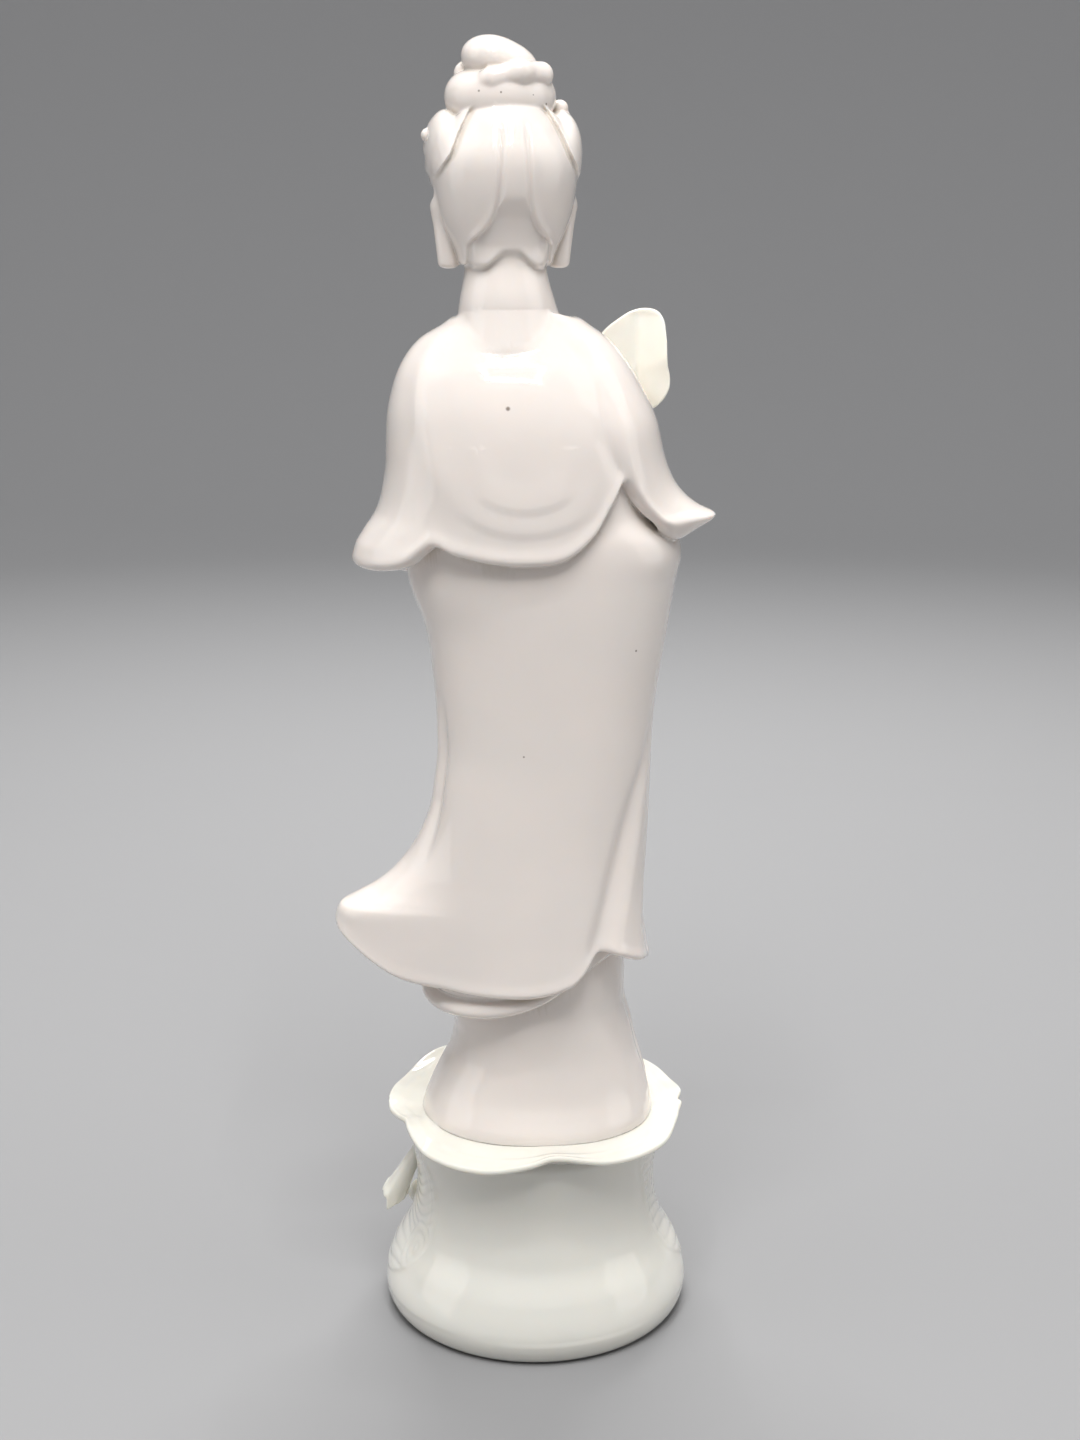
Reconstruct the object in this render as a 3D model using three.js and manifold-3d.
// A glazed white porcelain figure of Guanyin, standing on a lotus leaf that crowns a hollow plinth.
// Millimetres, +Z up. The origin is on the floor under the middle of the outline, and the figure looks
// along -Y.
// Each piece was made on its own, luted on with slip and fired in one glaze.
import * as THREE from "three";
import { mergeVertices } from "three/addons/utils/BufferGeometryUtils.js";
import Module from "manifold-3d";

// Driving dimensions
const FIGURE_HEIGHT = 350; // from the lotus leaf's middle to the top of the hair knot
const PLINTH_HEIGHT = 66; // to the underside of the lotus leaf
const PLINTH_FOOT_RADIUS = 52.4; // at the widest, just above the floor
const PLINTH_WAIST_RADIUS = 40.6;
const PLINTH_WAIST_HEIGHT = 46;
const PLINTH_TOP_RADIUS = 42.5;
const PLINTH_WALL = 5; // porcelain thickness of the plinth's wall and deck
const FOOT_ROUNDING = 8; // radius of the rolled edge around the foot
const FOOT_RING_WIDTH = 7; // the flat, unglazed ring that the plinth stands on
const LEAF_RADIUS = 49; // of the lotus leaf under the figure, to the middle of its waves
const LEAF_THICKNESS = 4; // in the middle
const LEAF_RIM_THICKNESS = 2.2;
const LEAF_DISH = 1.6; // how far the leaf rises towards its rim, before the waves
const WAVE_RELIEF = 1; // how far the carved water stands out of the plinth
const HELD_LEAF_WIDTH = 27;
const HELD_LEAF_HEIGHT = 44;
const HELD_LEAF_THICKNESS = 2.2;
const STEM_RADIUS = 1.7; // of the stem in the figure's hands
const ROLLED_LEAF_LENGTH = 24;
const ROLLED_LEAF_RADIUS = 5.4; // at its open end
const ROLLED_LEAF_WALL = 1.8;
const BUD_RADIUS = 4.4;
const ROLLED_LEAF_AT = { degrees: -12, height: 54 }; // where its closed end lies on the plinth
const LEFT_BUD_AT = { degrees: -20, height: 29.5 };
const RIGHT_BUD_AT = { degrees: 200, height: 49.5 };
const JOINT_GAP = 0.3; // the slip joint between two pieces
const STEM_GAP = 0.5; // the same round the stem and the held leaf

// The figure is drawn at this height, and scaled to FIGURE_HEIGHT.
const DRAWN_HEIGHT = 350;
const FIGURE_SCALE = FIGURE_HEIGHT / DRAWN_HEIGHT;
const FIGURE_TRIANGLES = 5000;
const UNCUT_TRIANGLES = 4550; // before the grooves round the stem and the leaf are cut
const HELD_LEAF_TRIANGLES = 520;
const APPLIED_TRIANGLES = 190; // of each small piece on the plinth
const TURNED_SIDES = 54; // round the plinth and its leaf

const GLAZE = { color: 0xe9e6de, roughness: 0.08, metalness: 0 };
const LEAF_GLAZE = { color: 0xe8e5d8, roughness: 0.1, metalness: 0 };

const { PI, abs, atan2, cos, exp, max, min, sin, sqrt } = Math;
const TURN = 2 * PI;
const rad = THREE.MathUtils.degToRad;
const clamp = THREE.MathUtils.clamp;
const mix = THREE.MathUtils.lerp;
const hypot = (x, y, z = 0) => sqrt(x * x + y * y + z * z);

// Smooth step from 0 at a to 1 at b, for a above b too.
function ramp(a, b, t) {
  const s = clamp((t - a) / (b - a), 0, 1);
  return s * s * (3 - 2 * s);
}

const bell = (t, width) => exp(-((t / width) ** 2));

// Difference of two angles, between -PI and PI.
const turnTo = (angle, to) => atan2(sin(angle - to), cos(angle - to));

// A smooth curve through [height, value] pairs in rising height, flat past its ends.
function profile(pairs) {
  const slope = (i) =>
    i <= 0 || i >= pairs.length - 1
      ? 0
      : (pairs[i + 1][1] - pairs[i - 1][1]) / (pairs[i + 1][0] - pairs[i - 1][0]);
  const at = (t) => {
    if (t <= pairs[0][0]) return pairs[0][1];
    const last = pairs.length - 1;
    if (t >= pairs[last][0]) return pairs[last][1];
    let i = 0;
    while (t > pairs[i + 1][0]) i++;
    const span = pairs[i + 1][0] - pairs[i][0];
    const s = (t - pairs[i][0]) / span;
    const s2 = s * s;
    const s3 = s2 * s;
    return (
      pairs[i][1] * (2 * s3 - 3 * s2 + 1) +
      slope(i) * span * (s3 - 2 * s2 + s) +
      pairs[i + 1][1] * (3 * s2 - 2 * s3) +
      slope(i + 1) * span * (s3 - s2)
    );
  };
  let [asked, answer] = [NaN, 0];
  return (t) => {
    if (t !== asked) [asked, answer] = [t, at(t)];
    return answer;
  };
}

// Distance fields: below 0 inside a form. Forms melt into each other over the width k.
function join(a, b, k) {
  const h = max(k - abs(a - b), 0) / k;
  return min(a, b) - h * h * k * 0.25;
}

// What two forms share, with its edge rounded over the width k.
const within = (a, b, k) => -join(-a, -b, k);

function ellipsoid(x, y, z, cx, cy, cz, rx, ry, rz) {
  const px = x - cx;
  const py = y - cy;
  const pz = z - cz;
  const k0 = hypot(px / rx, py / ry, pz / rz);
  const k1 = hypot(px / (rx * rx), py / (ry * ry), pz / (rz * rz));
  return k1 > 1e-9 ? (k0 * (k0 - 1)) / k1 : -min(rx, ry, rz);
}

// A rod from point a to point b, whose radius runs from ra to rb.
function rod(x, y, z, a, b, ra, rb) {
  const bx = b[0] - a[0];
  const by = b[1] - a[1];
  const bz = b[2] - a[2];
  const px = x - a[0];
  const py = y - a[1];
  const pz = z - a[2];
  const t = clamp((px * bx + py * by + pz * bz) / (bx * bx + by * by + bz * bz), 0, 1);
  return hypot(px - bx * t, py - by * t, pz - bz * t) - mix(ra, rb, t);
}

// Reach past an upright wrap of cloth, whose half sections go out to left, right, back and front.
function wrap(x, y, left, right, back, front, squareness) {
  const px = x - (left - right) / 2;
  const u = abs(px / ((left + right) / 2)) ** squareness;
  const v = abs(y / (y > 0 ? back : front)) ** squareness;
  const r = hypot(px, y);
  return r > 1e-6 ? r - r / (u + v) ** (1 / squareness) : -min(back, front);
}

// A smooth outline round the axis through [degrees, value] pairs, from -180 up to 180.
function curveRound(pairs) {
  const before = pairs[pairs.length - 2];
  const after = pairs[1];
  const curve = profile([[before[0] - 360, before[1]], ...pairs, [after[0] + 360, after[1]]]);
  return (a) => curve(THREE.MathUtils.radToDeg(a));
}

// The lotus leaf under the figure. Its rim rises and falls in long waves, with a pointed corner at each side.
const leafRimRise = curveRound([
  [-180, 3], [-176, 4.2], [-161, 2.6], [-148, 3.2], [-138, 3.2], [-120, 2.2], [-105, 3.4], [-90, 5],
  [-75, 5.2], [-62, 4], [-49, 5.4], [-40, 5], [-24, 2.4], [-10, 3], [0, 3.2], [6, 2], [14, 2.6],
  [22, 4.2], [29, 3.6], [35, 1.4], [42, -0.4], [52, -0.8], [63, -1.1], [72, -0.8], [82, 0.7], [89, 2.2],
  [96, 4.4], [101, 4.2], [109, 2.6], [118, 0.8], [129, -0.1], [140, -0.7], [152, -1.2], [165, -0.9],
  [172, 0.4], [176, 2.6], [180, 3],
]);
const leafRimSwing = curveRound([
  [-180, 0.4], [-176, 1.8], [-168, 0], [-150, -0.4], [-120, 0.8], [-90, 1.4], [-65, -0.4], [-45, 0.6],
  [-25, 0], [-8, 1.2], [4, 1.6], [13, 0], [22, -1.2], [30, 0.2], [50, 1.6], [70, 1.2], [86, 0.6],
  [97, 0], [110, 0.8], [130, 1.2], [150, 1], [166, 0.2], [174, 0.8], [177, 1.6], [180, 0.4],
]);
const leafRise = (x, y) => {
  const r = hypot(x, y) / LEAF_RADIUS;
  return r * r * LEAF_DISH + r ** 7 * (leafRimRise(atan2(y, x)) - LEAF_DISH);
};
const leafReach = (a) => LEAF_RADIUS + leafRimSwing(a);
const leafTop = PLINTH_HEIGHT + LEAF_THICKNESS;

// The skirt under the robe, flaring out on to the leaf.
const SKIRT = {
  left: profile([[-4, 39.5], [9, 36.4], [17, 32.5], [24, 28.8], [32, 27.2], [42, 28.6], [60, 29]]),
  right: profile([[-4, 41], [9, 38.9], [17, 36.6], [24, 34.4], [32, 32.6], [42, 30], [60, 29.5]]),
  back: profile([[-4, 33.5], [4, 33.6], [8, 31.6], [12, 29.8], [17, 28.6], [24, 27.4], [32, 26.8], [60, 26.5]]),
  front: profile([[-4, 38], [9, 35], [17, 32], [24, 29.5], [32, 28], [60, 27]]),
};

function skirt(x, y, h) {
  const a = atan2(y, x);
  const frontness = ramp(0.3, -0.4, sin(a));
  const pleats = (1.5 - 0.012 * h) * sin(11 * a + 0.05 * h) * frontness;
  const body = wrap(x, y, SKIRT.left(h), SKIRT.right(h), SKIRT.back(h), SKIRT.front(h), 2.15);
  return within(body - pleats, h - 66, 2);
}

// The outer robe. Its hem is blown out to +X into a pointed wing, and it ends in a pleat on the other side.
const ROBE = {
  left: profile([
    [45, 37.5], [75, 37.5], [103, 35.2], [117, 33.5], [131, 32], [158, 33.9], [171, 36], [186, 41],
    [210, 42.5], [236, 39], [250, 32], [262, 24],
  ]),
  right: profile([
    [45, 39.2], [61, 37.8], [75, 35.9], [89, 35.2], [117, 36.9], [144, 39.2], [171, 43.2], [186, 45.6],
    [194, 47.2], [200, 45.5], [208, 38.5], [220, 36], [236, 33], [250, 26], [262, 17],
  ]),
  back: profile([
    [45, 35.5], [70, 33.5], [100, 31], [140, 30], [186, 31.5], [210, 31], [236, 28], [250, 23], [262, 16],
  ]),
  front: profile([
    [45, 33], [70, 31], [100, 31], [140, 30], [186, 31], [205, 29.8], [225, 27], [240, 24.5], [252, 20],
    [262, 14.5],
  ]),
  wing: profile([
    [50, 29.5], [72, 29], [77.5, 28], [80, 23.5], [83.5, 17], [89, 10.5], [96, 5.5], [106, 1.4], [116, 0],
  ]),
};
const WING_ANGLE = rad(9);
const ROBE_TOP = 262;
const NECK_V = { x: 8, height: 204, slope: 2.8 };
const LAPEL_WIDTH = 7;
const SASH_HEIGHT = 178;
const SASH_WIDTH = 9;
const RIBBONS = [
  [[7, 0, 178], [2, 0, 160], [4, 0, 138], [-1, 0, 116]],
  [[8, 0, 178], [13, 0, 164], [12, 0, 146], [17, 0, 128]],
];

const robeHem = curveRound([
  [-180, 56], [-150, 51], [-125, 50], [-105, 55], [-90, 58], [-70, 52], [-50, 50], [-30, 55], [-12, 66],
  [2, 73], [14, 67.8], [28, 55.8], [45, 53], [65, 52.5], [90, 53], [108, 56], [115, 59.2], [121, 62.5],
  [128, 66.5], [135, 65], [146, 61.8], [160, 59], [172, 56.5], [180, 56],
]);
// Where the crease of the pleat runs, from the arch in the hem up to the robe's right edge.
const pleatCrease = profile([
  [60, 124.5], [68.7, 126.5], [75.9, 130.7], [83.7, 135.3], [98, 141.5], [116.7, 149.6], [127.6, 157.5],
  [139, 163.6], [150, 168],
]);

function robeFolds(x, a, h) {
  const frontness = ramp(0.2, -0.5, sin(a));
  // Swags hang across the front under the sash, and long pleats sweep down from them towards the wing.
  const middle = (x - 4) / 26;
  const swag = sin((h + 20 * middle * middle) / 2.1) * ramp(1.05, 0.4, abs(middle)) * ramp(112, 132, h);
  const pleats = sin(13 * (a - 0.42 * ramp(165, 55, h))) * mix(1, 0.35, ramp(112, 132, h));
  // The side panel stands out behind the crease.
  const past = turnTo(a, rad(pleatCrease(h)));
  const panel = 2.2 * ramp(-0.02, 0.2, past) * ramp(0.75, 0.4, past) - 1.9 * bell(past + 0.01, 0.13);
  return frontness * (0.9 * swag + 1.2 * pleats) * ramp(178, 168, h) + panel * ramp(150, 85, h);
}

function strand(x, y, z, points, ra, rb, k) {
  let d = 1e3;
  for (let i = 0; i < points.length - 1; i++) {
    const share = (n) => mix(ra, rb, n / (points.length - 1));
    d = join(d, rod(x, y, z, points[i], points[i + 1], share(i), share(i + 1)), k);
  }
  return d;
}

// Relief of the lapels, which cross with the left one on top, of the sash, and of its two ribbons.
function robeTrims(x, h) {
  const steep = hypot(1, NECK_V.slope);
  const intoLeft = (h - NECK_V.height - NECK_V.slope * (x - NECK_V.x)) / steep;
  const intoRight = (h - NECK_V.height + NECK_V.slope * (x - NECK_V.x)) / steep;
  const band = (into) => ramp(-LAPEL_WIDTH - 0.6, -LAPEL_WIDTH + 0.6, into) * ramp(0.6, -0.6, into);
  const lapels = max(1.7 * band(intoLeft), x < NECK_V.x ? 1.1 * band(intoRight) : 0);
  let relief = lapels * ramp(SASH_HEIGHT, SASH_HEIGHT + 5, h);
  for (const points of RIBBONS) relief = max(relief, 1.6 * ramp(0.4, -0.8, strand(x, 0, h, points, 2.2, 4, 1)));
  return max(relief, 1.6 * ramp(SASH_WIDTH / 2 + 0.5, SASH_WIDTH / 2 - 0.7, abs(h - SASH_HEIGHT)));
}

function robe(x, y, h) {
  const middle = (ROBE.left(h) - ROBE.right(h)) / 2;
  const a = atan2(y, x - middle);
  const body = wrap(x, y, ROBE.left(h), ROBE.right(h), ROBE.back(h), ROBE.front(h), 2.35);
  const wing = ROBE.wing(h) * bell(turnTo(a, WING_ANGLE), 0.36);
  const relief = robeFolds(x, a, h) + (y < 0 ? robeTrims(x, h) * ramp(0, -0.3, sin(a)) : 0);
  // Its front is open in a V.
  const top = y < 0 ? min(ROBE_TOP, NECK_V.height + NECK_V.slope * abs(x - NECK_V.x)) : ROBE_TOP;
  return within(within(body - wing - relief, robeHem(a) - h, 2.4), h - top, 2.5);
}

// A second hem, which shows below the robe at the back's left.
const underHem = curveRound([
  [-180, 64], [-90, 62], [-60, 58], [-30, 51], [0, 45.5], [25, 43.5], [50, 43.5], [75, 45.5], [98, 50],
  [118, 56.5], [145, 62], [180, 64],
]);

function underRobe(x, y, h) {
  const hem = underHem(atan2(y, x));
  const lip = 1.3 * bell(h - hem - 2.5, 2.6);
  const slack = (64 - hem) / 20;
  const body = wrap(x, y, 34 + 3.5 * slack, 30.5, 29 + 2.6 * slack, 29.5, 2.2);
  return within(within(body - lip, hem - h, 2), h - 70, 3);
}

// The shawl over the shoulders and arms, with a scalloped hem and flared corners.
const SHAWL = {
  left: profile([
    [182, 47], [210, 47.5], [236, 47.2], [248, 44.8], [256, 41.2], [262, 36], [267, 28], [274, 21.5],
  ]),
  right: profile([
    [182, 42.1], [210, 40.6], [223, 39.1], [236, 37], [248, 31.3], [256, 26.2], [262, 20.8], [267, 13.8],
    [274, 5.5],
  ]),
  back: profile([
    [182, 35.5], [205, 35], [225, 34], [240, 31.5], [252, 26.5], [260, 20.5], [267, 15.5], [274, 13],
  ]),
  front: profile([
    [182, 34], [205, 33], [225, 30], [240, 27], [252, 22.5], [260, 18], [267, 14], [274, 10],
  ]),
  leftFlare: profile([[184, 9], [192, 11], [197, 10.6], [202, 7.6], [208, 3.6], [216, 1.2], [226, 0]]),
  rightFlare: profile([
    [190, 3], [198, 5], [202, 9], [206, 14.6], [209, 10], [213, 5.6], [218, 2.6], [226, 0.6], [234, 0],
  ]),
};

const shawlHem = curveRound([
  [-180, 204.5], [-168, 203], [-155, 197], [-135, 186], [-115, 176], [-98, 190], [-82, 190], [-65, 174],
  [-45, 180], [-25, 184], [-8, 189.3], [8, 190.3], [21, 190.5], [35, 193], [46, 199.6], [56, 197.3],
  [73, 195], [92, 194.3], [110, 196], [124, 203], [133, 212], [142, 218.8], [149, 210], [158, 202],
  [166, 199.5], [173, 201.5], [180, 204.5],
]);

// The flap over the right arm lies on top of the back, from the neck to the notch in the hem.
const flapCrease = profile([
  [205, 146], [218, 143.6], [225.6, 139.1], [235, 136.8], [245, 139.5], [255, 141.4], [264, 137.6],
]);
const U_FOLDS = [17.6, 25]; // how far two shallow folds under the shoulder blades lie below their centre
const U_CENTRE = [3, 230.5];

function shawl(x, y, h) {
  const middle = (SHAWL.left(h) - SHAWL.right(h)) / 2;
  const a = atan2(y, x - middle);
  const body = wrap(x, y, SHAWL.left(h), SHAWL.right(h), SHAWL.back(h), SHAWL.front(h), 2.3);
  const leftFlare = SHAWL.leftFlare(h) * bell(turnTo(a, rad(4)), 0.55);
  const rightFlare = SHAWL.rightFlare(h) * bell(turnTo(a, rad(180)), 0.4);
  const past = turnTo(a, rad(flapCrease(h)));
  const flap = 1.9 * ramp(-0.05, 0.12, past) * ramp(1.5, 0.9, past);
  const drop = hypot((x - U_CENTRE[0]) * 0.86, h - U_CENTRE[1]);
  let ripples = 0;
  if (y > 0 && h < U_CENTRE[1])
    for (const reach of U_FOLDS)
      ripples += ramp(1.02 * reach, 0.55 * reach, abs(x - U_CENTRE[0])) * bell(drop - reach, 2);
  // In front it parts to show the robe under it.
  const pastEdge = abs(x - 8.5) - 13 - 0.12 * max(0, 266 - h);
  const parted = y < 0 ? 7 * ramp(1, -2.2, pastEdge) - 0.7 * bell(pastEdge - 2.8, 1.8) : 0;
  const folds = ramp(0, -0.5, sin(a)) * 0.9 * sin(13 * a + 0.09 * h) * ramp(264, 240, h);
  const cloth = body - leftFlare - rightFlare - flap - 0.6 * ripples - folds + parted;
  return within(within(cloth, shawlHem(a) - h, 2.6), h - 276, 5);
}

// Arms in wide sleeves: one hand at the breast and one at the waist, both round the stem.
const LEFT_HAND = [11, -43, 196];
const RIGHT_HAND = [-26, -38, 224];
const STEM = [
  [21, -47, 176],
  [13, -46, 190],
  [2, -46, 201],
  [-14, -44, 214],
  [-26, -41, 224],
  [-33, -36, 231],
  [-36, -31, 238],
];

// Each sleeve hangs from the forearm, from the body's side to the wrist.
const LEFT_SLEEVE = { elbow: [31, -12, 205], wrist: [20, -37, 198], side: [32, -24, 203], fall: 38 };
const RIGHT_SLEEVE = { elbow: [-29, -12, 212], wrist: [-29, -33, 218], side: [-41, -15, 211], fall: 44 };
const SLEEVE_THICKNESS = 7;
const SLEEVE_FOLD = 7.2; // from one fold to the next

function sleeve(x, y, h, { elbow, wrist, side, fall }) {
  const arm = rod(x, y, h, elbow, wrist, 12, 7.6);
  const span = hypot(wrist[0] - side[0], wrist[1] - side[1]);
  const ux = (wrist[0] - side[0]) / span;
  const uy = (wrist[1] - side[1]) / span;
  const along = (x - side[0]) * ux + (y - side[1]) * uy;
  const off = (y - side[1]) * ux - (x - side[0]) * uy;
  const share = clamp(along / span, 0, 1);
  const below = mix(side[2], wrist[2], share) - h;
  const fold = 1.25 * sin((TURN * along) / SLEEVE_FOLD + 0.05 * below) * ramp(0, 20, below);
  const sheet = within(abs(off - fold) - SLEEVE_THICKNESS / 2, abs(along - span / 2) - span / 2 - 3, 5);
  const hem = below - fall * (0.86 + 0.14 * sin(PI * share));
  return join(arm, within(within(sheet, hem, 2.4), -2 - below, 3), 5);
}

function hand(x, y, h, at, side) {
  let d = ellipsoid(x, y, h, at[0] + side * 1.5, at[1] + 4, at[2], 6.2, 4.6, 5.2);
  for (let finger = 0; finger < 4; finger++) {
    const drop = 4.6 - finger * 2.9;
    const knuckle = [at[0] + side * 5.2, at[1] - 0.5, at[2] + drop];
    const tip = [at[0] - side * 3.6, at[1] - 3.6, at[2] + drop - 1];
    d = join(d, rod(x, y, h, knuckle, tip, 1.9, 1.4), 1.1);
  }
  return d;
}

function arms(x, y, h) {
  const sleeves = min(sleeve(x, y, h, LEFT_SLEEVE), sleeve(x, y, h, RIGHT_SLEEVE));
  const hands = min(hand(x, y, h, LEFT_HAND, 1), hand(x, y, h, RIGHT_HAND, -1));
  return join(sleeves, hands, 2);
}

// The bare chest between the crossed edges of the robe, and the neck.
function chest(x, y, h) {
  const trunk = ellipsoid(x, y, h, 6, -2, 232, 28, 21, 40);
  const neck = rod(x, y, h, [8.6, 1.5, 262], [9.3, 0.5, 288], 13.4, 12.6);
  const collar = rod(x, y, h, [8.6, 4, 258], [8.8, 3, 269], 18.5, 13.4);
  return join(join(trunk, neck, 8), collar, 6);
}

// The sash's bow.
function trimmings(x, y, h) {
  const bow = ellipsoid(x, y, h, 7.5, -32.8, SASH_HEIGHT, 3.6, 2.4, 3.6);
  return join(bow, ellipsoid(abs(x - 7.5), y, h, 6.4, -32.4, SASH_HEIGHT, 4.8, 1.9, 3), 0.7);
}

// A string of beads round the neck, which lies on the chest, with a pendant.
const NECKLACE = Array.from({ length: 15 }, (_, i) => {
  const t = i / 7 - 1;
  const x = 8.3 + 15.5 * sin((t * PI) / 2);
  const h = 232 + 33 * abs(t) ** 1.8;
  let y = -45;
  for (let step = 0; step < 60; step++) y += 0.6 * max(0, chest(x, y, h));
  return [x, y, h];
});

function necklace(x, y, h) {
  const lowest = NECKLACE[(NECKLACE.length - 1) / 2];
  let d = ellipsoid(x, y, h, lowest[0], lowest[1], lowest[2] - 3.6, 2.6, 1.8, 3.4);
  for (const bead of NECKLACE) d = min(d, hypot(x - bead[0], y - bead[1], h - bead[2]) - 1.4);
  return d;
}

// The head, in its own frame: turned a little to +X and bowed a little.
const HEAD = { x: 9.7, y: -1, h: 308, turn: rad(10), bow: rad(4) };

function headFrame(x, y, h) {
  const px = x - HEAD.x;
  const py = y - HEAD.y;
  const pz = h - HEAD.h;
  const tx = px * cos(HEAD.turn) + py * sin(HEAD.turn);
  const ty = -px * sin(HEAD.turn) + py * cos(HEAD.turn);
  return [tx, ty * cos(HEAD.bow) - pz * sin(HEAD.bow), ty * sin(HEAD.bow) + pz * cos(HEAD.bow)];
}

function face(x, y, z) {
  const ax = abs(x);
  const skull = ellipsoid(x, y, z, 0, 0, 3, 18.2, 20.5, 24);
  const jaw = ellipsoid(x, y, z, 0, -5.5, -11.5, 14.2, 13.4, 15.2);
  let d = join(skull, jaw, 9);
  d = join(d, ellipsoid(ax, y, z, 8.2, -13.2, -6.5, 5.6, 5.4, 5.6), 4);
  d = join(d, ellipsoid(x, y, z, 0, -16.6, -20, 4.6, 3.6, 3.8), 3.5);
  d = join(d, rod(x, y, z, [0, -19.6, 4], [0, -22.6, -5.6], 1.2, 2), 2.2);
  d = join(d, ellipsoid(ax, y, z, 1.9, -20.8, -6.3, 1.5, 1.7, 1.3), 1);
  d = join(d, rod(ax, y, z, [2.4, -20, 4.6], [11.2, -16.6, 5.6], 0.8, 0.6), 2.4);
  d = within(d, -ellipsoid(ax, y, z, 7, -20.6, 1.2, 4.6, 2.2, 2.3), 2);
  d = join(d, ellipsoid(ax, y, z, 7, -16.4, 0.4, 4.3, 3.2, 2.7), 0.8);
  d = join(d, ellipsoid(x, y, z, 0, -18.9, -11.6, 4.4, 1.9, 1.15), 0.8);
  return join(d, ellipsoid(x, y, z, 0, -18.6, -13.9, 3.4, 1.9, 1.3), 0.6);
}

function ear(x, y, z) {
  const ax = abs(x);
  const shell = ellipsoid(ax, y, z, 19.8, 0, -3, 2.8, 5.4, 8);
  const lobe = rod(ax, y, z, [19.4, 0.5, -8], [17.2, 1.5, -22.6], 2.8, 3);
  return join(shell, lobe, 2.5);
}

// How far from the middle the back's central lock and the bulge over each ear begin.
const middleLock = profile([[-17, 12.2], [-12, 8], [-8, 5.8], [0, 4.2], [15, 3.8], [24, 3.4]]);
const sideBand = profile([[4, 19.5], [10, 18], [18, 14.2], [26, 10.4]]);

function hair(x, y, z) {
  const ax = abs(x);
  // The cap, and the mass down the nape to an edge that is arched in the middle.
  const cap = ellipsoid(x, y, z, 0, 1.5, 5, 21.5, 21, 22);
  const half = 19.6 - 5.2 * ramp(-6, -26, z);
  const nape = wrap(x, y - 2, half, half, 17.5 + 0.09 * z, 9, 2.3);
  let d = join(cap, within(within(nape, -23.6 - z + 3.6 * bell(x, 6.5), 2.4), z - 10, 8), 7);
  const middleEdges = bell(ax - middleLock(z), 1.3) * ramp(26, 20, z);
  const sideEdges = bell(ax - sideBand(z), 1.3) * ramp(3, 9, z);
  d += 0.9 * (middleEdges + sideEdges) * ramp(2, 8, y);
  d = join(d, ellipsoid(ax, y, z, 18, -1.5, 10, 6.4, 14, 12.8), 1.8);
  return within(d, -ellipsoid(x, y, z, 0, -25, -6, 16.4, 18, 19.5), 1.2);
}

// The knot of hair: a coil round the crown and a twisted loop on top of it.
function knot(x, y, z) {
  const ring = hypot(hypot(x + 1, (y + 2) * 1.15) - 10.6, z - 23) - 8;
  const strands = 0.5 * sin(7 * atan2(y + 2, x + 1) + 0.75 * z);
  const core = ellipsoid(x, y, z, -1, -2, 26, 11, 10, 10);
  const tilt = z - 35.5 + 0.22 * x;
  const loop = ellipsoid(x, y, tilt, 2, -2, 0, 12.2, 10, 7.6);
  return join(join(ring - strands, core, 2), loop, 0.9);
}

function crown(x, y, z) {
  // A fillet of beads over the brow with a jewel, and a curl of hair at each temple.
  let d = ellipsoid(x, y, z, 0, -17.6, 17.5, 2.8, 2.4, 3.6);
  for (let i = -4; i <= 4; i++) {
    if (i === 0) continue;
    const a = rad(-90 + i * 13);
    d = min(d, hypot(x - 20.2 * cos(a), y - 1 - 19.4 * sin(a), z - 15.5 + 0.12 * i * i) - 1.5);
  }
  d = min(d, hypot(x - 23, y + 4, z - 15.5) - 2.3);
  return min(d, hypot(x + 17.8, y + 5, z - 23) - 2.6);
}

function head(x, y, h) {
  const [px, py, pz] = headFrame(x, y, h);
  const flesh = join(face(px, py, pz), ear(px, py, pz), 1.2);
  return join(join(join(flesh, hair(px, py, pz), 0.9), knot(px, py, pz), 1.2), crown(px, py, pz), 0.8);
}

// Everything in the figure that is one moulded body.
function figure(x, y, h) {
  let d = 1e3;
  if (h < 75) d = min(d, join(skirt(x, y, h), underRobe(x, y, h), 1.6));
  if (h > 38 && h < 268) d = join(d, robe(x, y, h), 1.6);
  if (h > 150 && h < 284) {
    d = join(d, shawl(x, y, h), 1.4);
    d = join(d, arms(x, y, h), 3);
  }
  if (h > 165 && h < 190) d = join(d, trimmings(x, y, h), 1);
  if (h > 186) d = join(d, chest(x, y, h), 1.6);
  if (h > 220 && h < 272) d = join(d, necklace(x, y, h), 0.6);
  if (h > 268) d = join(d, head(x, y, h), 2);
  return d;
}

// The figure's lattice follows its lean and width, so that the head's cells are finer than the robe's.
const LATTICE = {
  across: 64,
  deep: 56,
  levels: 210,
  low: -6,
  high: 352,
  middle: profile([
    [0, -1], [75, 12], [110, -1], [150, -3], [200, 0.5], [250, 5], [280, 9.5], [350, 9.7],
  ]),
  half: profile([
    [0, 46], [50, 58], [75, 60], [120, 48], [185, 60], [212, 62], [250, 50], [275, 31], [300, 29],
    [350, 27],
  ]),
  frontEdge: profile([[0, -44], [100, -44], [160, -48], [200, -56], [240, -50], [270, -30], [350, -29]]),
  backEdge: profile([[0, 44], [60, 44], [180, 40], [235, 40], [270, 27], [350, 27]]),
};

function latticePoint(i, j, k, out) {
  const h = mix(LATTICE.low, LATTICE.high, (k / (LATTICE.levels - 1)) ** 0.86);
  out[0] = LATTICE.middle(h) + LATTICE.half(h) * ((2 * i) / (LATTICE.across - 1) - 1);
  out[1] = mix(LATTICE.frontEdge(h), LATTICE.backEdge(h), j / (LATTICE.deep - 1));
  out[2] = h;
  return out;
}

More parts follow.
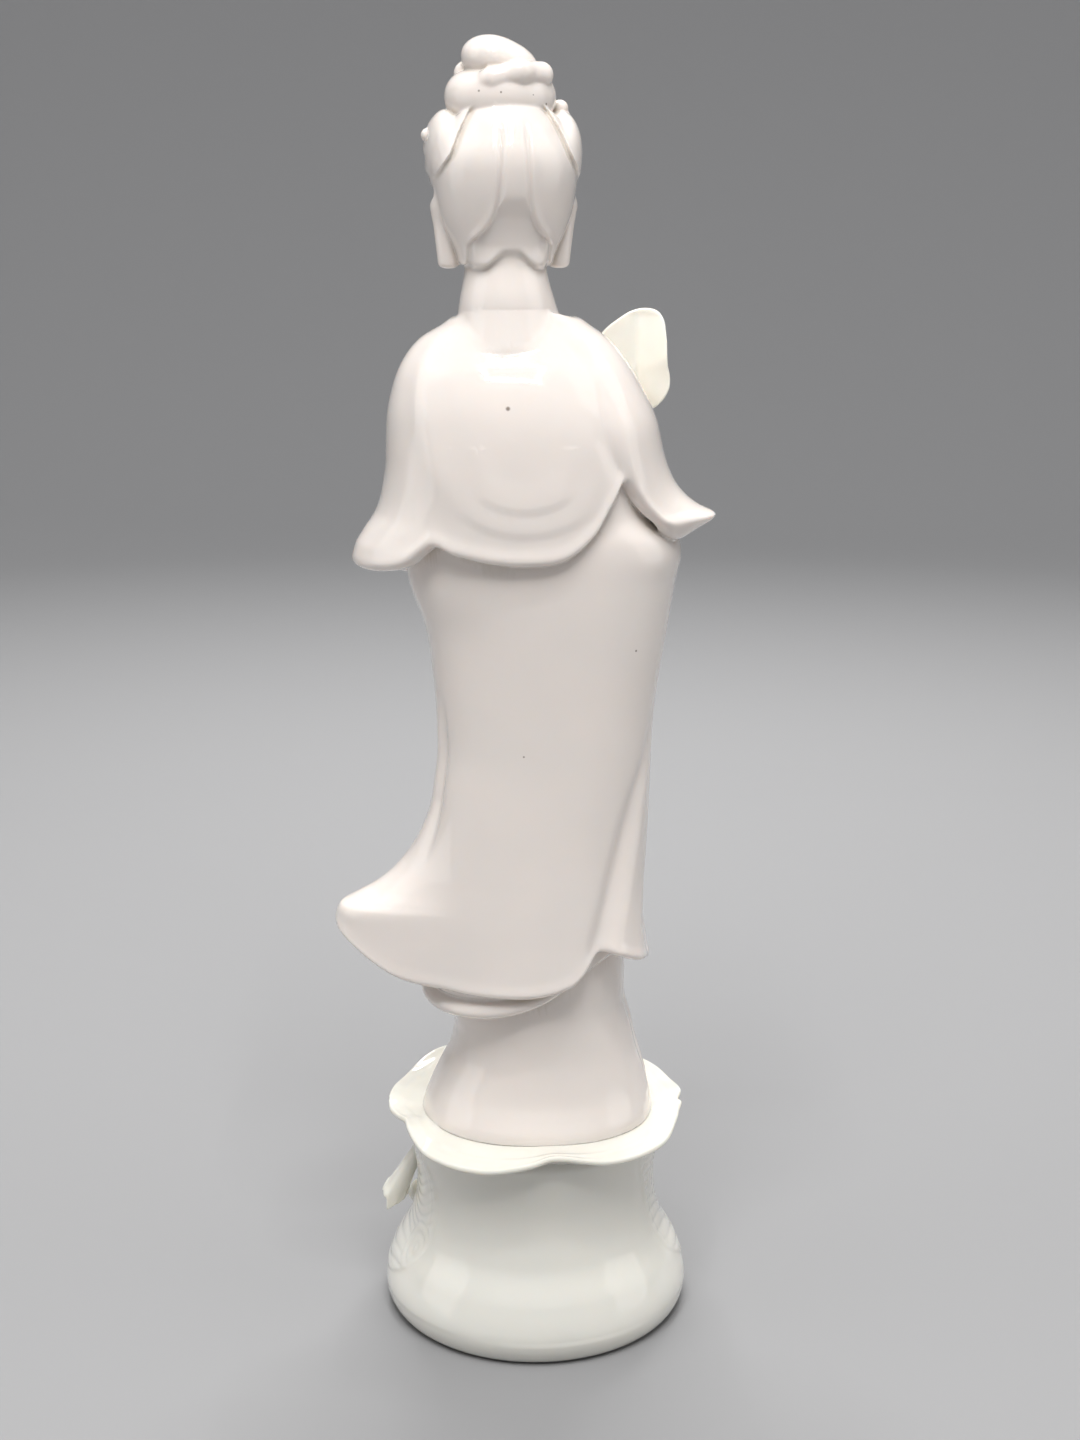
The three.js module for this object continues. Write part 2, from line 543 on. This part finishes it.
// Marching tetrahedra: each cell of the lattice is six tetrahedra round its long diagonal, which always
// gives a closed surface.
const CELL_TETRAHEDRA = [
  [0, 1, 3, 7],
  [0, 3, 2, 7],
  [0, 2, 6, 7],
  [0, 6, 4, 7],
  [0, 4, 5, 7],
  [0, 5, 1, 7],
];

function surfaceOf(field) {
  const { across, deep, levels } = LATTICE;
  const count = across * deep * levels;
  const place = new Float64Array(count * 3);
  const value = new Float64Array(count);
  const p = [0, 0, 0];
  const atEnd = (i, size) => i === 0 || i === size - 1;
  for (let k = 0, n = 0; k < levels; k++)
    for (let j = 0; j < deep; j++)
      for (let i = 0; i < across; i++, n++) {
        place.set(latticePoint(i, j, k, p), n * 3);
        const edge = atEnd(i, across) || atEnd(j, deep) || atEnd(k, levels);
        value[n] = edge ? 1 : field(p[0], p[1], p[2]) || 1e-7;
      }
  const vertices = [];
  const known = new Map();
  const crossing = (a, b) => {
    const key = a < b ? a * count + b : b * count + a;
    let found = known.get(key);
    if (found === undefined) {
      const t = clamp(value[a] / (value[a] - value[b]), 0.04, 0.96);
      found = vertices.length / 3;
      for (let c = 0; c < 3; c++) vertices.push(mix(place[a * 3 + c], place[b * 3 + c], t));
      known.set(key, found);
    }
    return found;
  };
  const triangles = [];
  const side = (a, b, c, d) => {
    // Positive where d lies on the side that a, b, c turn towards.
    const e = (n, m, axis) => place[n * 3 + axis] - place[m * 3 + axis];
    const [ux, uy, uz] = [e(b, a, 0), e(b, a, 1), e(b, a, 2)];
    const [vx, vy, vz] = [e(c, a, 0), e(c, a, 1), e(c, a, 2)];
    const [wx, wy, wz] = [e(d, a, 0), e(d, a, 1), e(d, a, 2)];
    return (uy * vz - uz * vy) * wx + (uz * vx - ux * vz) * wy + (ux * vy - uy * vx) * wz;
  };
  for (let k = 0; k < levels - 1; k++)
    for (let j = 0; j < deep - 1; j++)
      for (let i = 0; i < across - 1; i++) {
        const first = (k * deep + j) * across + i;
        const corner = (c) => first + (c & 1) + ((c >> 1) & 1) * across + ((c >> 2) & 1) * across * deep;
        let below = 0;
        for (let c = 0; c < 8; c++) if (value[corner(c)] < 0) below++;
        if (below === 0 || below === 8) continue;
        for (const tetra of CELL_TETRAHEDRA) {
          const at = tetra.map(corner);
          const inside = at.filter((n) => value[n] < 0);
          if (inside.length === 0 || inside.length === 4) continue;
          const outside = at.filter((n) => value[n] >= 0);
          if (inside.length === 2) {
            const [a, b] = inside;
            const [c, d] = outside;
            const quad = [crossing(a, c), crossing(a, d), crossing(b, d), crossing(b, c)];
            const flip = side(a, c, d, b) < 0;
            if (flip) triangles.push(quad[0], quad[2], quad[1], quad[0], quad[3], quad[2]);
            else triangles.push(quad[0], quad[1], quad[2], quad[0], quad[2], quad[3]);
            continue;
          }
          const [lone, rest] = inside.length === 1 ? [inside[0], outside] : [outside[0], inside];
          const corners = rest.map((n) => crossing(lone, n));
          const outward = side(rest[0], rest[1], rest[2], lone) > 0 === (inside.length === 3);
          if (outward) triangles.push(corners[0], corners[1], corners[2]);
          else triangles.push(corners[0], corners[2], corners[1]);
        }
      }
  return { vertices, triangles };
}

// Edge collapse by quadric error: joins vertices where the surface is flattest, and keeps it closed.
function simplified({ vertices, triangles }, target, detail) {
  const count = vertices.length / 3;
  const quadric = new Float64Array(count * 10);
  const around = Array.from({ length: count }, () => new Set());
  const face = [];
  const live = [];
  const normalOf = (a, b, c, moved, to) => {
    const v = (n, axis) => (n === moved ? to[axis] : vertices[n * 3 + axis]);
    const [ux, uy, uz] = [v(b, 0) - v(a, 0), v(b, 1) - v(a, 1), v(b, 2) - v(a, 2)];
    const [wx, wy, wz] = [v(c, 0) - v(a, 0), v(c, 1) - v(a, 1), v(c, 2) - v(a, 2)];
    return [uy * wz - uz * wy, uz * wx - ux * wz, ux * wy - uy * wx];
  };
  for (let t = 0; t < triangles.length; t += 3) {
    const tri = [triangles[t], triangles[t + 1], triangles[t + 2]];
    const index = face.push(tri) - 1;
    live.push(true);
    const n = normalOf(tri[0], tri[1], tri[2], -1);
    const length = hypot(...n);
    if (length > 0) {
      const [a, b, c] = n.map((v) => v / length);
      const d = -(a * vertices[tri[0] * 3] + b * vertices[tri[0] * 3 + 1] + c * vertices[tri[0] * 3 + 2]);
      const weight = (length / 2) * detail(vertices[tri[0] * 3 + 2]);
      const q = [a * a, a * b, a * c, a * d, b * b, b * c, b * d, c * c, c * d, d * d];
      for (const v of tri) for (let i = 0; i < 10; i++) quadric[v * 10 + i] += q[i] * weight;
    }
    for (const v of tri) around[v].add(index);
  }
  const cost = (a, b, p) => {
    const q = (i) => quadric[a * 10 + i] + quadric[b * 10 + i];
    const [x, y, z] = p;
    return (
      q(0) * x * x + 2 * q(1) * x * y + 2 * q(2) * x * z + 2 * q(3) * x +
      q(4) * y * y + 2 * q(5) * y * z + 2 * q(6) * y +
      q(7) * z * z + 2 * q(8) * z + q(9)
    );
  };
  const bestPlace = (a, b) => {
    const q = (i) => quadric[a * 10 + i] + quadric[b * 10 + i];
    const m = new THREE.Matrix3().set(q(0), q(1), q(2), q(1), q(4), q(5), q(2), q(5), q(7));
    const pa = [0, 1, 2].map((c) => vertices[a * 3 + c]);
    const pb = [0, 1, 2].map((c) => vertices[b * 3 + c]);
    const middle = pa.map((v, c) => (v + pb[c]) / 2);
    const trace = q(0) + q(4) + q(7);
    const choices = [middle, pa, pb];
    if (abs(m.determinant()) > 1e-4 * trace ** 3) {
      const s = new THREE.Vector3(-q(3), -q(6), -q(8)).applyMatrix3(m.invert());
      const reach = hypot(pa[0] - pb[0], pa[1] - pb[1], pa[2] - pb[2]);
      const away = hypot(s.x - middle[0], s.y - middle[1], s.z - middle[2]);
      if (away < 1.5 * reach) choices.push([s.x, s.y, s.z]);
    }
    let best = choices[0];
    for (const p of choices) if (cost(a, b, p) < cost(a, b, best)) best = p;
    return best;
  };
  const version = new Uint32Array(count);
  const heap = [];
  const swap = (i, j) => ([heap[i], heap[j]] = [heap[j], heap[i]]);
  const push = (item) => {
    let i = heap.push(item) - 1;
    while (i > 0 && heap[(i - 1) >> 1].cost > heap[i].cost) {
      swap(i, (i - 1) >> 1);
      i = (i - 1) >> 1;
    }
  };
  const pop = () => {
    const top = heap[0];
    const last = heap.pop();
    if (heap.length) heap[0] = last;
    for (let i = 0; ; ) {
      let least = i;
      for (const child of [2 * i + 1, 2 * i + 2])
        if (child < heap.length && heap[child].cost < heap[least].cost) least = child;
      if (least === i) break;
      swap(i, least);
      i = least;
    }
    return top;
  };
  const offer = (a, b) => {
    const p = bestPlace(a, b);
    push({ a, b, p, cost: max(0, cost(a, b, p)), stamp: version[a] + version[b] });
  };
  const neighbours = (v) => {
    const found = new Set();
    for (const f of around[v]) for (const w of face[f]) if (w !== v) found.add(w);
    return found;
  };
  for (let v = 0; v < count; v++) for (const w of neighbours(v)) if (v < w) offer(v, w);
  let left = face.length;
  while (left > target && heap.length) {
    const { a, b, p, stamp } = pop();
    if (stamp !== version[a] + version[b] || !around[a].size || !around[b].size) continue;
    const near = neighbours(a);
    if (!near.has(b)) continue;
    let shared = 0;
    for (const w of neighbours(b)) if (near.has(w)) shared++;
    if (shared !== 2) continue;
    const turns = (moved, other) =>
      [...around[moved]].some((f) => {
        if (face[f].includes(other)) return false;
        const before = normalOf(...face[f], -1);
        const after = normalOf(...face[f], moved, p);
        const dot = before[0] * after[0] + before[1] * after[1] + before[2] * after[2];
        return dot < 0.25 * hypot(...before) * hypot(...after);
      });
    if (turns(a, b) || turns(b, a)) continue;
    for (let c = 0; c < 3; c++) vertices[a * 3 + c] = p[c];
    for (let i = 0; i < 10; i++) quadric[a * 10 + i] += quadric[b * 10 + i];
    for (const f of [...around[b]]) {
      if (face[f].includes(a)) {
        live[f] = false;
        left--;
        for (const v of face[f]) around[v].delete(f);
      } else {
        face[f] = face[f].map((v) => (v === b ? a : v));
        around[a].add(f);
      }
    }
    around[b].clear();
    version[a]++;
    for (const w of neighbours(a)) offer(a, w);
  }
  return { vertices, triangles: face.filter((_, f) => live[f]).flat() };
}

function geometryOf({ vertices, triangles }) {
  const g = new THREE.BufferGeometry();
  g.setAttribute("position", new THREE.Float32BufferAttribute(vertices, 3));
  g.setIndex(triangles);
  return g;
}

const wasm = await Module();
wasm.setup();

function solidOf(geometry) {
  const bare = geometry.clone();
  bare.deleteAttribute("normal");
  bare.deleteAttribute("uv");
  const merged = mergeVertices(bare, 1e-4);
  return new wasm.Manifold(
    new wasm.Mesh({
      numProp: 3,
      vertProperties: new Float32Array(merged.attributes.position.array),
      triVerts: new Uint32Array(merged.index.array),
    }),
  );
}

// The mesh of a solid. Down to the target it loses first the needle triangles that a cut leaves.
function geometryFrom(solid, target, detail = () => 1) {
  const m = solid.getMesh();
  const mesh = { vertices: Array.from(m.vertProperties), triangles: Array.from(m.triVerts) };
  return geometryOf(simplified(mesh, target, detail));
}

// The largest body of a solid, without crumbs that a thin edge leaves.
const mainBody = (solid) => solid.decompose().reduce((a, b) => (b.volume() > a.volume() ? b : a));

// A closed mesh from rings of points, each joined to the next, with a fan at each end.
function ringed(rings) {
  const around = rings[0].length;
  const vertices = rings.flat(2);
  const triangles = [];
  for (let r = 0; r < rings.length - 1; r++)
    for (let i = 0; i < around; i++) {
      const [a, b] = [r * around + i, r * around + ((i + 1) % around)];
      triangles.push(a, b, b + around, a, b + around, a + around);
    }
  const cap = (ring, reversed) => {
    const middle = vertices.length / 3;
    const sum = rings[ring].reduce((s, p) => s.map((v, c) => v + p[c] / around), [0, 0, 0]);
    vertices.push(...sum);
    for (let i = 0; i < around; i++) {
      const [a, b] = [ring * around + i, ring * around + ((i + 1) % around)];
      if (reversed) triangles.push(a, middle, b);
      else triangles.push(a, b, middle);
    }
  };
  cap(0, true);
  cap(rings.length - 1, false);
  return geometryOf({ vertices, triangles });
}

// The plinth's outline from the floor up.
const plinthRadius = profile([
  [FOOT_ROUNDING, PLINTH_FOOT_RADIUS],
  [PLINTH_WAIST_HEIGHT * 0.42, PLINTH_FOOT_RADIUS * 0.938],
  [PLINTH_WAIST_HEIGHT * 0.66, PLINTH_WAIST_RADIUS * 1.066],
  [PLINTH_WAIST_HEIGHT, PLINTH_WAIST_RADIUS],
  [PLINTH_HEIGHT, PLINTH_TOP_RADIUS],
]);

// Carved water covers the plinth apart from a plain panel at the back, whose edges lie at these degrees on
// each share of the plinth's height.
const panelStart = profile([
  [0.18, 8], [0.22, 16.6], [0.3, 26.2], [0.38, 30.9], [0.5, 34.6], [0.68, 35.4], [0.81, 33.5], [0.92, 28],
]);
const panelEnd = profile([
  [0.18, 184], [0.25, 175], [0.34, 163.6], [0.42, 160.3], [0.53, 157], [0.72, 153.2], [0.91, 146],
]);

function water(a, z) {
  const share = z / PLINTH_HEIGHT;
  const outsidePanel = max(turnTo(rad(panelStart(share)), a), turnTo(a, rad(panelEnd(share))));
  const edge = ramp(0, rad(5), outsidePanel);
  const low = ramp(10, 17, z);
  const swell = 0.5 + 0.5 * sin(9 * a + 2.4 * sin(z / 9) + z / 5.5);
  return WAVE_RELIEF * edge * low * (0.45 + 0.55 * swell);
}

function plinth(grow = 0) {
  const angles = Array.from({ length: TURNED_SIDES }, (_, i) => (TURN * i) / TURNED_SIDES);
  const ring = (radius, height) =>
    angles.map((a) => {
      const r = radius(a);
      const x = r * cos(a);
      const y = r * sin(a);
      return [x, y, height(x, y)];
    });
  const under = (x, y) => PLINTH_HEIGHT + leafRise(x, y) - JOINT_GAP;
  const rings = [];
  const innerFoot = PLINTH_FOOT_RADIUS - FOOT_ROUNDING - FOOT_RING_WIDTH + 2;
  const deck = PLINTH_HEIGHT - PLINTH_WALL;
  const inner = (z) => min(innerFoot, plinthRadius(z) - PLINTH_WALL);
  // Inside, from the middle of the deck down to the foot ring.
  rings.push(ring(() => inner(deck) * 0.35, () => deck));
  rings.push(ring(() => inner(deck) * 0.8, () => deck - 0.5));
  rings.push(ring(() => inner(deck), () => deck - 4));
  for (const z of [PLINTH_WAIST_HEIGHT, PLINTH_WAIST_HEIGHT * 0.6, PLINTH_WAIST_HEIGHT * 0.3, 4])
    rings.push(ring(() => inner(z), () => z));
  rings.push(ring(() => innerFoot + 1, () => 0));
  rings.push(ring(() => innerFoot + 1 + FOOT_RING_WIDTH, () => 0));
  // The rolled edge of the foot.
  const roll = PLINTH_FOOT_RADIUS - innerFoot - 1 - FOOT_RING_WIDTH;
  for (let i = 1; i <= 3; i++) {
    const a = (PI / 2) * (i / 4);
    rings.push(
      ring(() => PLINTH_FOOT_RADIUS - roll * (1 - sin(a)), () => FOOT_ROUNDING * (1 - cos(a))),
    );
  }
  const levels = 9;
  for (let i = 0; i < levels; i++) {
    const z = mix(FOOT_ROUNDING, PLINTH_HEIGHT - 5, i / (levels - 1));
    rings.push(ring((a) => plinthRadius(z) + water(a, z) + grow, () => z));
  }
  rings.push(ring(() => PLINTH_TOP_RADIUS, under));
  for (const share of [0.85, 0.65, 0.3]) rings.push(ring(() => PLINTH_TOP_RADIUS * share, under));
  return ringed(rings);
}

// The leaf between figure and plinth: thick in the middle, thin at its wavy rim.
function lotusLeaf(grow = 0) {
  const sheet = (share, upper) =>
    Array.from({ length: TURNED_SIDES }, (_, i) => {
      const a = (TURN * i) / TURNED_SIDES;
      const r = leafReach(a) * share;
      const x = r * cos(a);
      const y = r * sin(a);
      const thin = mix(LEAF_THICKNESS, LEAF_RIM_THICKNESS, ramp(PLINTH_TOP_RADIUS / LEAF_RADIUS, 1, share));
      const mid = PLINTH_HEIGHT + leafRise(x, y);
      return [x, y, mid + LEAF_THICKNESS + (upper ? grow : -thin - grow)];
    });
  const shares = [0.35, 0.65, 0.84, 0.95, 1];
  const below = shares.map((s) => sheet(s, false));
  const above = shares.map((s) => sheet(s, true)).reverse();
  return ringed([...below, ...above]);
}

// How far the held leaf reaches from its middle, as a share of its height, from its shown side.
const heldLeafReach = curveRound([
  [-180, 0.295], [-158, 0.31], [-139, 0.395], [-130, 0.455], [-116, 0.515], [-100, 0.515], [-81, 0.465],
  [-59, 0.41], [-29, 0.345], [8, 0.323], [37, 0.345], [57, 0.38], [76, 0.416], [91, 0.466], [104, 0.502],
  [114, 0.509], [122, 0.475], [132, 0.4], [148, 0.323], [166, 0.289], [180, 0.295],
]);
const HELD_LEAF_PROPORTION = 27 / 44;

// The leaf held at the shoulder, cupped, on a stem that passes through both hands.
function heldLeaf(grow = 0) {
  const toWorld = ([x, y, h]) =>
    new THREE.Vector3(x * FIGURE_SCALE, y * FIGURE_SCALE, leafTop + h * FIGURE_SCALE);
  const points = STEM.map(toWorld);
  const past = points[0].clone().sub(points[1]).setLength(grow);
  points[0].add(past);
  const path = new THREE.CatmullRomCurve3(points);
  const section = new THREE.Shape().absarc(0, 0, STEM_RADIUS + grow, 0, TURN);
  const stem = new THREE.ExtrudeGeometry(section, { steps: 14, extrudePath: path, curveSegments: 4 });
  const foot = toWorld(STEM[STEM.length - 1]);
  const sides = 28;
  const wider = HELD_LEAF_WIDTH / HELD_LEAF_HEIGHT / HELD_LEAF_PROPORTION;
  const half = HELD_LEAF_THICKNESS / 2 + grow;
  const sheet = (share, lift) =>
    Array.from({ length: sides }, (_, i) => {
      const a = (TURN * i) / sides - PI;
      const reach = share * heldLeafReach(a) * HELD_LEAF_HEIGHT + (share === 1 ? grow : 0);
      const across = reach * cos(a) * wider;
      const up = reach * sin(a);
      const u = across / (HELD_LEAF_WIDTH / 2);
      const v = clamp(up / HELD_LEAF_HEIGHT + 0.43, 0, 1);
      const cup = 4 * u * u + 3.5 * sin(PI * v) - 2 * v;
      return [foot.x + 4.5 + across, foot.y - 2.5 + cup + lift, foot.z + 10 + up];
    });
  const shares = [0.15, 0.45, 0.75, 0.93, 1];
  const rings = [...shares.map((s) => sheet(s, -half)), ...shares.map((s) => sheet(s, half)).reverse()];
  for (const ring of rings) ring.reverse();
  return solidOf(stem).add(solidOf(ringed(rings)));
}

// A point on the plinth's side, and the way out of it.
function onPlinth(angle, z, out = 0) {
  const r = plinthRadius(z) + WAVE_RELIEF + JOINT_GAP + out;
  return new THREE.Vector3(r * cos(angle), r * sin(angle), z);
}

// A young leaf still rolled up, open at its lower end.
function rolledLeaf() {
  const sides = 16;
  const angle = rad(ROLLED_LEAF_AT.degrees);
  const start = onPlinth(angle, ROLLED_LEAF_AT.height, -2.5);
  const end = onPlinth(angle + 0.05, ROLLED_LEAF_AT.height - ROLLED_LEAF_LENGTH * 0.88, 7);
  const along = end.clone().sub(start).normalize();
  const sideways = new THREE.Vector3(-sin(angle), cos(angle), 0);
  const third = along.clone().cross(sideways).normalize();
  const ring = (t, radius, ragged) =>
    Array.from({ length: sides }, (_, i) => {
      const a = (TURN * i) / sides;
      const reach = t * ROLLED_LEAF_LENGTH + ragged * 1.6 * sin(3 * a + 1);
      const p = start.clone().addScaledVector(along, reach);
      p.addScaledVector(sideways, radius * cos(a)).addScaledVector(third, -radius * 0.8 * sin(a));
      return p.toArray();
    });
  const outside = (t) => mix(2.2, ROLLED_LEAF_RADIUS, ramp(0, 1, t));
  const rings = [0, 0.25, 0.5, 0.75, 1].map((t) => ring(t, outside(t), t === 1 ? 1 : 0));
  rings.push(ring(1, outside(1) - ROLLED_LEAF_WALL, 1));
  rings.push(ring(0.6, outside(0.6) - ROLLED_LEAF_WALL, 0));
  return ringed(rings.map((points) => points.reverse()));
}

// A closed bud: an egg of petals pointing along its axis.
function bud(place, radius, tip) {
  const points = [];
  const steps = 9;
  for (let i = 0; i <= steps; i++) {
    const t = i / steps;
    const swell = sin(PI * t ** 0.85) ** 0.8 * (1 - 0.25 * t);
    points.push(new THREE.Vector2(radius * swell, tip * radius * (t - 0.45)));
  }
  points[0].x = 0;
  points[steps].x = 0;
  const egg = new THREE.LatheGeometry(points, 14);
  egg.rotateX(PI / 2);
  const at = onPlinth(rad(place.degrees), place.height, radius * 0.1);
  egg.translate(at.x, at.y, at.z);
  return egg;
}

// The robe's broad forms need fewer triangles than the head.
const headDetail = (h) => mix(1, 3, ramp(250, 280, h));

// The figure stands on the leaf, so its underside follows the leaf's top.
function figureGeometry() {
  const leafBelow = (x, y, h) =>
    leafRise(x * FIGURE_SCALE, y * FIGURE_SCALE) + JOINT_GAP - h * FIGURE_SCALE;
  const field = (x, y, h) => max(figure(x, y, h), leafBelow(x, y, h));
  const g = geometryOf(simplified(surfaceOf(field), UNCUT_TRIANGLES, headDetail));
  g.scale(FIGURE_SCALE, FIGURE_SCALE, FIGURE_SCALE);
  g.translate(0, 0, leafTop);
  return g;
}

function piece(name, geometry, finish) {
  geometry.computeVertexNormals();
  const mesh = new THREE.Mesh(geometry, new THREE.MeshStandardMaterial(finish));
  mesh.name = name;
  return mesh;
}

// Each piece is trimmed to what it was luted on to, less the slip joint.
const plinthCutter = solidOf(plinth(JOINT_GAP));
const trimmed = (geometry) =>
  geometryFrom(mainBody(solidOf(geometry).subtract(plinthCutter)), APPLIED_TRIANGLES);
const leafCutter = heldLeaf(STEM_GAP).add(solidOf(lotusLeaf(JOINT_GAP)));
const figureSolid = mainBody(solidOf(figureGeometry()).subtract(leafCutter));

const guanyin = new THREE.Group();
guanyin.add(
  piece("plinth", plinth(), GLAZE),
  piece("lotus_leaf_base", lotusLeaf(), LEAF_GLAZE),
  piece("guanyin_figure", geometryFrom(figureSolid, FIGURE_TRIANGLES, (z) => headDetail(z - leafTop)), GLAZE),
  piece("held_lotus_leaf", geometryFrom(heldLeaf(), HELD_LEAF_TRIANGLES), LEAF_GLAZE),
  piece("rolled_lotus_leaf", trimmed(rolledLeaf()), LEAF_GLAZE),
  piece("lotus_bud_left", trimmed(bud(LEFT_BUD_AT, BUD_RADIUS * 0.82, 2.6)), LEAF_GLAZE),
  piece("lotus_bud_right", trimmed(bud(RIGHT_BUD_AT, BUD_RADIUS, 2.3)), LEAF_GLAZE),
);

// The middle of the whole outline, at the floor, comes to the origin.
const outline = new THREE.Box3().setFromObject(guanyin);
const middle = outline.getCenter(new THREE.Vector3());
guanyin.position.set(-middle.x, -middle.y, -outline.min.z);

export default guanyin;
